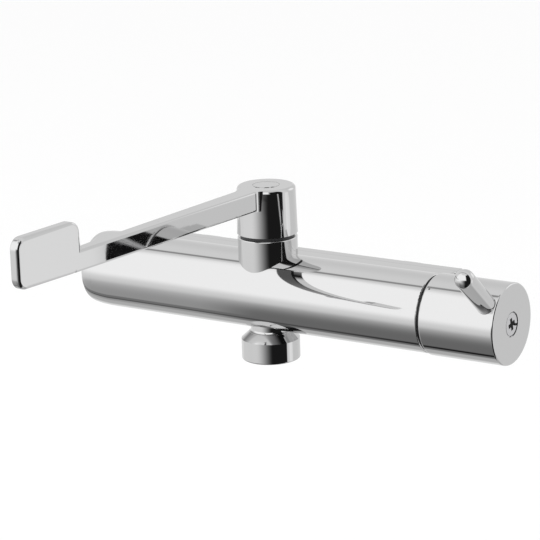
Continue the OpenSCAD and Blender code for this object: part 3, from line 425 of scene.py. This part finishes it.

# %% [markdown]
# ## Rubber, plastics and ceramic
# Seals are rubber with a soft bloom, the inner cages are moulded plastic with a fine matt
# grain, and the two discs are ground ceramic. The small recesses get a painted shade: a black
# that hardly shines, standing in for the shade of a deep cut that swallows the light. All of
# these are one recipe with other numbers, so they come from a table.

# %% The finishes that aren't metal
# colour, grain of the gloss (scale, detail), roughness (from, to),
# relief (scale, detail, depth in mm), other sockets
NOT_METAL = {
    "black_rubber": ((0.020, 0.020, 0.021), (120, 5.0), (0.55, 0.78), (700, 4.0, 0.02), {}),
    "black_plastic": ((0.028, 0.028, 0.030), (150, 4.0), (0.36, 0.5), (1200, 2.0, 0.012), {}),
    "ivory_plastic": ((0.80, 0.77, 0.69), (110, 4.0), (0.28, 0.42), (900, 2.0, 0.01),
                      {"Subsurface_Weight": 0.08,
                       "Subsurface_Radius": (0.002, 0.0015, 0.001)}),
    "ground_ceramic": ((0.88, 0.87, 0.84), (260, 5.0), (0.12, 0.26), None, {}),
    "index_mark": ((0.03, 0.03, 0.032), (1500, 2.0), (0.35, 0.5), None, {}),
    # painted shade: near-black with little shine, for recesses that lie in shade
    "painted_recess_shade": ((0.008, 0.008, 0.008), (900, 3.0), (0.5, 0.8), (1500, 2.0, 0.01),
                         {"Specular_IOR_Level": 0.12}),
}
not_metal = {}
for name, (colour, gloss, rough, bumps, sockets) in NOT_METAL.items():
    not_metal[name], tree, shader = new_finish(name, colour, **sockets)
    wander(tree, shader, grain(tree, *gloss), *rough)
    if bumps:
        relief(tree, shader, grain(tree, *bumps[:2]), bumps[2])
shade_black = not_metal["painted_recess_shade"]
print("finishes that aren't metal:", sorted(not_metal))

# %% [markdown]
# ## Finishes for the CAD pieces that stay
# The record already says which slot every CAD node has. A CAD mesh is never changed, but
# its material slots are ours to fill, so one loop dresses all the nodes.

# %% Put the finishes on the CAD nodes
FINISHES = {"chrome": chrome, "steel": steel, "brass": brass, "copper": copper,
            "rubber": not_metal["black_rubber"], "ceramic": not_metal["ground_ceramic"],
            "black_plastic": not_metal["black_plastic"],
            "ivory_plastic": not_metal["ivory_plastic"],
            "index_mark": not_metal["index_mark"]}
for node in nodes.values():
    for place in node.material_slots:
        slot_name = place.material.name.split(".")[0]
        place.material = FINISHES[slot_name]
print("finishes placed on", len(nodes), "nodes")

# %% [markdown]
# ## Copies of CAD meshes
# A CAD mesh is a heap of loose triangles, and its own normals already make round faces look
# round. To bend those normals or to move a few points, we need a closed copy that keeps
# them. Shading it smooth afresh would lose the crisp edges, so every corner's normal is
# carried over.

# %% A closed copy of a CAD mesh, with its corner normals
SAME_POINT_DIGITS = 7


def merged_copy(node_name):
    mesh = nodes[node_name].data
    index, points, place_of = {}, [], []
    for vertex in mesh.vertices:
        key = tuple(round(c, SAME_POINT_DIGITS) for c in vertex.co)
        if key not in index:
            index[key] = len(points)
            points.append(key)
        place_of.append(index[key])
    faces, normals = [], []
    for polygon in mesh.polygons:
        corners = [place_of[v] for v in polygon.vertices]
        if len(set(corners)) == len(corners):
            faces.append(corners)
            normals += [mesh.corner_normals[i].vector.copy() for i in polygon.loop_indices]
    return points, faces, normals


def chromed_copy(name, points, faces, normals):
    copy = mesh_object(name, points, faces)
    copy.data.polygons.foreach_set("use_smooth", [True] * len(faces))
    copy.data.normals_split_custom_set(normals)
    copy.data.materials.append(chrome)
    return copy


print("a copy of the lever would have", len(merged_copy("lever")[0]), "points")

# %% [markdown]
# ## The lever
# The lever is one polished casting, and its CAD mesh has the right outline. But the
# reflection of the body in its long near face fits a face that is turned by 3.6 degrees
# more than the drawing's. Turning the whole lever would spoil the outline, so we turn only
# the shading normals of that face, and fade the turn out at the hub and round the edges.

# %% The lever with a turned near face
AXIS_Y = -50 * MM
FACE_TURN = math.radians(-3.6)
NEAR_FACE = Vector((0.997, -0.082, 0.0)).normalized()
FACES_AWAY, FACES_NEAR = 0.5, 0.95
HUB_ENDS, ARM_BEGINS = 24 * MM, 36 * MM


def eased(value, start, end):
    share = min(max((value - start) / (end - start), 0.0), 1.0)
    return share * share * (3 - 2 * share)


points, faces, normals = merged_copy("lever")
for corner, v in enumerate(v for face in faces for v in face):
    away = math.hypot(points[v][0], points[v][1] - AXIS_Y)
    share = (eased(normals[corner].dot(NEAR_FACE), FACES_AWAY, FACES_NEAR)
             * eased(away, HUB_ENDS, ARM_BEGINS))
    normals[corner] = Matrix.Rotation(FACE_TURN * share, 3, "Z") @ normals[corner]
lever = chromed_copy("lever_casting", points, faces, normals)
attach(lever, "lever")
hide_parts("lever")
print("lever faces:", len(faces))

# %% [markdown]
# ## The rear cover
# A bright line runs along the top front edge of the cover, behind the round body. It is
# the rounding of that edge, which gathers the whole tent into two millimetres. The CAD edge
# is rounded less, and a bevel on top of a bevel would be ragged. So we widen the arc on a
# copy: each of its points keeps its angle and its normal, and only the radius grows. The
# box of the cover stays as it is.

# %% The rear cover with softly rounded front edges
COVER_TOP, COVER_FRONT = 20.0 * MM, -24.7 * MM
SHARP_ROUND, SOFT_ROUND = 0.9 * MM, 2.2 * MM
ON_THE_ARC = -0.001 * MM / SHARP_ROUND
points, faces, normals = merged_copy("rear_cover")
moved = 0
for i, (x, y, z) in enumerate(points):
    across = (abs(z) - COVER_TOP + SHARP_ROUND) / SHARP_ROUND
    along = (COVER_FRONT + SHARP_ROUND - y) / SHARP_ROUND
    if across > ON_THE_ARC and along > ON_THE_ARC:
        points[i] = (x, COVER_FRONT + SOFT_ROUND - SOFT_ROUND * along,
                     math.copysign(COVER_TOP - SOFT_ROUND + SOFT_ROUND * across, z))
        moved += 1
cover = chromed_copy("rear_cover_band", points, faces, normals)
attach(cover, "body")
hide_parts("rear_cover")
print("rear cover:", len(faces), "faces,", moved, "points on the wider arcs")

# %% [markdown]
# ## Painted shade in the pry slots
# The plug in the hub's top is levered out with a small blade, and its rim has two short
# slots for that, which look dark because they lie in shade. They could be cut into a copy of
# the plug, but they are about a pixel tall in the photograph, and a cut so shallow shows bright
# metal. Two dark curved inlays along the rim, a touch proud of the top, paint that shade and
# follow its edge.

# %% Painted shade: two dark curved inlays at the rim of the lever cap
MARK_ARCS = ((26, 46), (54, 67))
MARK_INNER, MARK_OUTER = 7.5 * MM, 9.1 * MM
MARK_FOOT, MARK_TOP = 67.35 * MM, 67.63 * MM
MARK_STEP = 2.5
MERGE = 1e-7


def close_and_face_outwards(mesh):
    work = bmesh.new()
    work.from_mesh(mesh)
    bmesh.ops.remove_doubles(work, verts=work.verts, dist=MERGE)
    bmesh.ops.recalc_face_normals(work, faces=work.faces)
    work.to_mesh(mesh)
    work.free()


points, faces = [], []
for start, end in MARK_ARCS:
    first, count = len(points), round((end - start) / MARK_STEP)
    for i in range(count + 1):
        turned = math.radians(start + (end - start) * i / count)
        for radius, z in ((MARK_INNER, MARK_FOOT), (MARK_OUTER, MARK_FOOT),
                          (MARK_OUTER, MARK_TOP), (MARK_INNER, MARK_TOP)):
            points.append((radius * math.sin(turned), AXIS_Y - radius * math.cos(turned), z))
    for a in range(first, first + 4 * count, 4):
        for k in range(4):
            b = (k + 1) % 4
            faces.append((a + k, a + b, a + 4 + b, a + 4 + k))
    faces.append(tuple(first + k for k in range(4)))
    faces.append(tuple(first + 4 * count + k for k in (3, 2, 1, 0)))
# the inlays are painted shade, dark where the slots lie in shade
slot_shade = mesh_object("cap_pry_slot_shade", points, faces)
close_and_face_outwards(slot_shade.data)
slot_shade.data.materials.append(shade_black)
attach(slot_shade, "lever")
print("pry marks:", len(faces), "faces")

# %% [markdown]
# ## The end screw's recess
# The cross recess of the knob's end screw looks black, because little light comes back out
# of a deep and narrow cut. A polished cut in the model shines instead. So we paint that shade
# with a dark inlay in the recess and in the slot beside it. Each is an outline in the plane of
# the face, in millimetres from the knob's axis, drawn out along X until it is just proud.

# %% Painted shade: dark inlays in the cross recess and its slot
SCREW_FACE, INLAY_DEPTH = 170.3 * MM, 0.75 * MM
CROSS_TURN = math.radians(14)
ARM, HALF_WIDTH = 3.85, 1.25
CROSS = [(ARM, HALF_WIDTH), (HALF_WIDTH, HALF_WIDTH), (HALF_WIDTH, ARM), (-HALF_WIDTH, ARM),
         (-HALF_WIDTH, HALF_WIDTH), (-ARM, HALF_WIDTH), (-ARM, -HALF_WIDTH),
         (-HALF_WIDTH, -HALF_WIDTH), (-HALF_WIDTH, -ARM), (HALF_WIDTH, -ARM),
         (HALF_WIDTH, -HALF_WIDTH), (ARM, -HALF_WIDTH)]
SLOT_OUTER, SLOT_INNER, SLOT_HALF = 6.9, 3.5, 0.75
SLOT = [(SLOT_OUTER, SLOT_HALF), (SLOT_INNER, SLOT_HALF),
        (SLOT_INNER, -SLOT_HALF), (SLOT_OUTER, -SLOT_HALF)]
CROSS_PROUD, SLOT_PROUD = 0.04 * MM, 0.03 * MM
points, faces = [], []
for outline, turned, proud in ((CROSS, CROSS_TURN, CROSS_PROUD),
                               (SLOT, -CROSS_TURN, SLOT_PROUD)):
    first, count = len(points), len(outline)
    for x in (SCREW_FACE - INLAY_DEPTH, SCREW_FACE + proud):
        for y, z in outline:
            points.append((x, AXIS_Y + (y * math.cos(turned) - z * math.sin(turned)) * MM,
                           (y * math.sin(turned) + z * math.cos(turned)) * MM))
    faces.append(tuple(range(first + count - 1, first - 1, -1)))
    faces.append(tuple(range(first + count, first + 2 * count)))
    for k in range(count):
        after = (k + 1) % count
        faces.append((first + k, first + after, first + count + after, first + count + k))
# the inlays are painted shade for the deep, narrow cuts
screw_shade = mesh_object("screw_recess_shade_inlay", points, faces)
close_and_face_outwards(screw_shade.data)
screw_shade.data.materials.append(shade_black)
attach(screw_shade, "knob")
print("screw lining:", len(faces), "faces")

# %% [markdown]
# ## Threads and springs
# The union nuts and the outlet bell carry a three-quarter inch pipe thread, and three wire
# springs sit inside. A thread and a spring are the same thing to a maker: one outline that
# is drawn along a helix. A Screw modifier could turn it too, but Geometry Nodes keep pitch,
# turns and outline as named numbers that can be changed. The tree draws a helix, sweeps an
# outline along it, and its result is turned into a plain mesh.

# %% A tree that sweeps an outline along a helix
# the outline is drawn upright, and a quarter turn lays its foot against the wall
OUTLINE_TURN = math.radians(-90)
STEPS_A_TURN, WIRE_STEPS = 48, 14
INPUTS = (("Turns", 4.0), ("Pitch", 0.001), ("Middle Radius", 0.01),
          ("Outline Height", 0.001), ("Outline Foot", 0.001), ("Outline Crest", 0.0002))


def draw_outline(tree, given, pointed):
    if pointed:
        return add_node(tree, "GeometryNodeCurvePrimitiveQuadrilateral",
                        {"Height": given["Outline Height"],
                         "Bottom Width": given["Outline Foot"],
                         "Top Width": given["Outline Crest"], "Offset": 0.0},
                        mode="TRAPEZOID").outputs[0]
    half = calculate(tree, "MULTIPLY", given["Outline Height"], 0.5)
    return add_node(tree, "GeometryNodeCurvePrimitiveCircle",
                    {"Resolution": WIRE_STEPS, "Radius": half}).outputs[0]


def helix_tree(name, pointed, finish):
    tree = bpy.data.node_groups.new(name, "GeometryNodeTree")
    tree.interface.new_socket("Geometry", in_out="OUTPUT", socket_type="NodeSocketGeometry")
    for label, start in INPUTS:
        socket = tree.interface.new_socket(label, in_out="INPUT", socket_type="NodeSocketFloat")
        socket.default_value = start
    given = tree.nodes.new("NodeGroupInput").outputs
    length = calculate(tree, "MULTIPLY", given["Turns"], given["Pitch"])
    helix = add_node(tree, "GeometryNodeCurveSpiral",
                     {"Resolution": STEPS_A_TURN, "Rotations": given["Turns"],
                      "Height": length, "Start Radius": given["Middle Radius"],
                      "End Radius": given["Middle Radius"]}).outputs[0]
    upright = add_node(tree, "GeometryNodeSetCurveNormal", {"Curve": helix},
                       mode="Z_UP").outputs[0]
    turned = add_node(tree, "GeometryNodeTransform",
                      {"Geometry": draw_outline(tree, given, pointed),
                       "Rotation": (0, 0, OUTLINE_TURN)}).outputs[0]
    swept = add_node(tree, "GeometryNodeCurveToMesh",
                     {"Curve": upright, "Profile Curve": turned, "Fill Caps": True}).outputs[0]
    smooth = add_node(tree, "GeometryNodeSetShadeSmooth",
                      {"Geometry": swept, "Shade Smooth": not pointed}).outputs[0]
    real = add_node(tree, "GeometryNodeRealizeInstances", {0: smooth}).outputs[0]
    dressed = add_node(tree, "GeometryNodeSetMaterial",
                       {"Geometry": real, "Material": finish}).outputs[0]
    add_node(tree, "NodeGroupOutput", {0: dressed})
    return tree


thread_tree = helix_tree("pipe_thread", True, brass)
spring_tree = helix_tree("wire_spring", False, steel)
print("trees:", thread_tree.name, spring_tree.name)

# %% [markdown]
# ## From a tree to a piece
# The tree runs as a modifier on an empty mesh. A live modifier would leave the piece's
# place open, so its result is copied into a plain mesh, which is then moved to its place,
# closed where the sweep meets itself, and turned to face outwards.

# %% A helper that turns a tree into a plain mesh in its place
def grow(name, tree, sizes, place):
    holder = mesh_object(name, [], [])
    modifier = holder.modifiers.new("helix", "NODES")
    modifier.node_group = tree
    for item in tree.interface.items_tree:
        if item.in_out == "INPUT" and item.name in sizes:
            modifier[item.identifier] = float(sizes[item.name])
    seen = holder.evaluated_get(bpy.context.evaluated_depsgraph_get())
    mesh = bpy.data.meshes.new_from_object(seen)
    holder.modifiers.clear()
    holder.data = mesh
    mesh.name = name
    mesh.transform(place)
    close_and_face_outwards(mesh)
    home = place.inverted()
    across = [(home @ v.co).to_2d().length / MM for v in mesh.vertices]
    print(name, len(mesh.polygons), "faces, radius %.2f to %.2f mm" % (min(across), max(across)))
    return holder


print("the tree's inputs:", [label for label, start in INPUTS])

# %% [markdown]
# ## The three threads
# A three-quarter inch pipe thread has fourteen turns to the inch, which is a pitch of
# 1.814 mm, and ridges 1.16 mm high. The two nuts turn, so their threads ride on them. The
# outlet's thread stands still with the body.

# %% Threads of the union nuts and of the outlet
PITCH = 1.814 * MM
THREAD_DEPTH, THREAD_WALL = 1.16 * MM, 13.32 * MM
THREAD_TURNS, FOOT_SHARE, CREST_SHARE = 4.5, 0.86, 0.16
INLET_X, NUT_THREAD_Y, OUTLET_THREAD_Z = 75 * MM, -9.0 * MM, -42.9 * MM
TO_WALL = Matrix.Rotation(math.radians(-90), 4, "X")
thread_sizes = {"Turns": THREAD_TURNS, "Pitch": PITCH,
                "Middle Radius": THREAD_WALL - THREAD_DEPTH / 2,
                "Outline Height": THREAD_DEPTH, "Outline Foot": FOOT_SHARE * PITCH,
                "Outline Crest": CREST_SHARE * PITCH}
for side, x in (("left", -INLET_X), ("right", INLET_X)):
    place = Matrix.Translation((x, NUT_THREAD_Y, 0)) @ TO_WALL
    thread = grow("nut_thread_" + side, thread_tree, thread_sizes, place)
    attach(thread, "nut_" + side)
place = Matrix.Translation((0, AXIS_Y, OUTLET_THREAD_Z))
thread = grow("outlet_thread", thread_tree, thread_sizes, place)
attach(thread, "body")

# %% [markdown]
# ## The three springs
# Two small springs press the check valves shut, and a stronger one pushes the thermostat's
# shuttle back. The CAD has them with faceted wire, to keep its solids light. The same tree
# draws them with round wire in the same places, at rest.

# %% Round wire springs in place of the faceted ones
TO_KNOB = Matrix.Rotation(math.radians(90), 4, "Y")
# node, start of the axis, its direction, middle radius, wire, turns and length, in mm
SPRINGS = (("check_spring_left", (-75, -27.5, 0), TO_WALL, 2.4, 0.5, 4, 5.2),
           ("check_spring_right", (75, -27.5, 0), TO_WALL, 2.4, 0.5, 4, 5.2),
           ("return_spring", (55.1, -50, 0), TO_KNOB, 8.2, 1.2, 3, 6.8))
for node_name, start, turned, middle, wire, turns, length in SPRINGS:
    place = Matrix.Translation([c * MM for c in start]) @ turned
    place = place @ Matrix.Translation((0, 0, wire / 2 * MM))
    sizes = {"Turns": turns, "Pitch": (length - wire) / turns * MM,
             "Middle Radius": middle * MM, "Outline Height": wire * MM}
    spring = grow(node_name + "_wire", spring_tree, sizes, place)
    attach(spring, "body")
    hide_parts(node_name)
